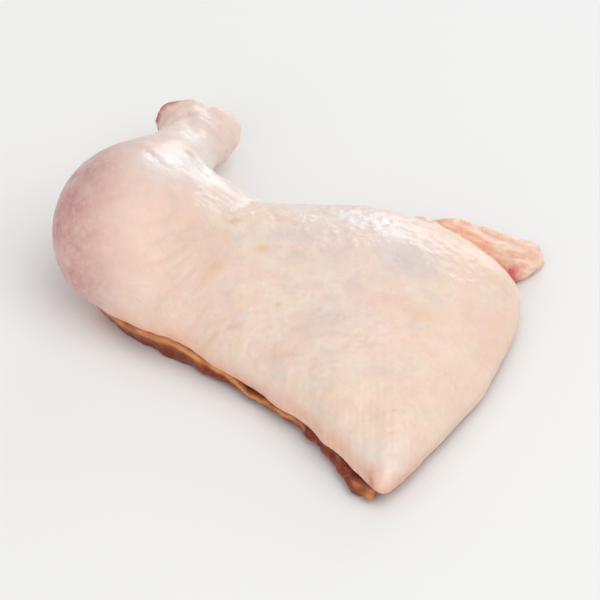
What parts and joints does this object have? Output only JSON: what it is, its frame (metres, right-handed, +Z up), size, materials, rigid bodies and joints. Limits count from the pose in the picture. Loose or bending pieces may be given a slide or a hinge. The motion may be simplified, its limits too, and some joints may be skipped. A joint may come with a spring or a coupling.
{
  "type": "raw chicken leg quarter",
  "caption": "Raw chicken leg quarter lying skin side up: drumstick, thigh and a strip of back in one piece, with the cut hock at one end.",
  "frame": {"origin": "middle of the piece's bounding box, on the surface that it lies on", "axes": "+X along the thigh from the knee to the hip, +Y along the drumstick towards the hock, +Z up through the skin side"},
  "size_m": [0.1784, 0.216, 0.0507],
  "materials": {
    "skin": "raw poultry skin, moist and slightly translucent, cream to pink, with follicle bumps and fine wrinkles",
    "meat": "raw dark chicken meat at the cut edge and underside, wet, red-brown, with fibres and films of fat",
    "fat": "soft raw back fat and torn skin, moist, pale yellow to orange, with a small red spot",
    "cartilage": "smooth wet cartilage of the cut hock joint, bluish white to pink"
  },
  "bodies": {
    "root": {"leg_quarter": "skin"}
  },
  "joints": []
}
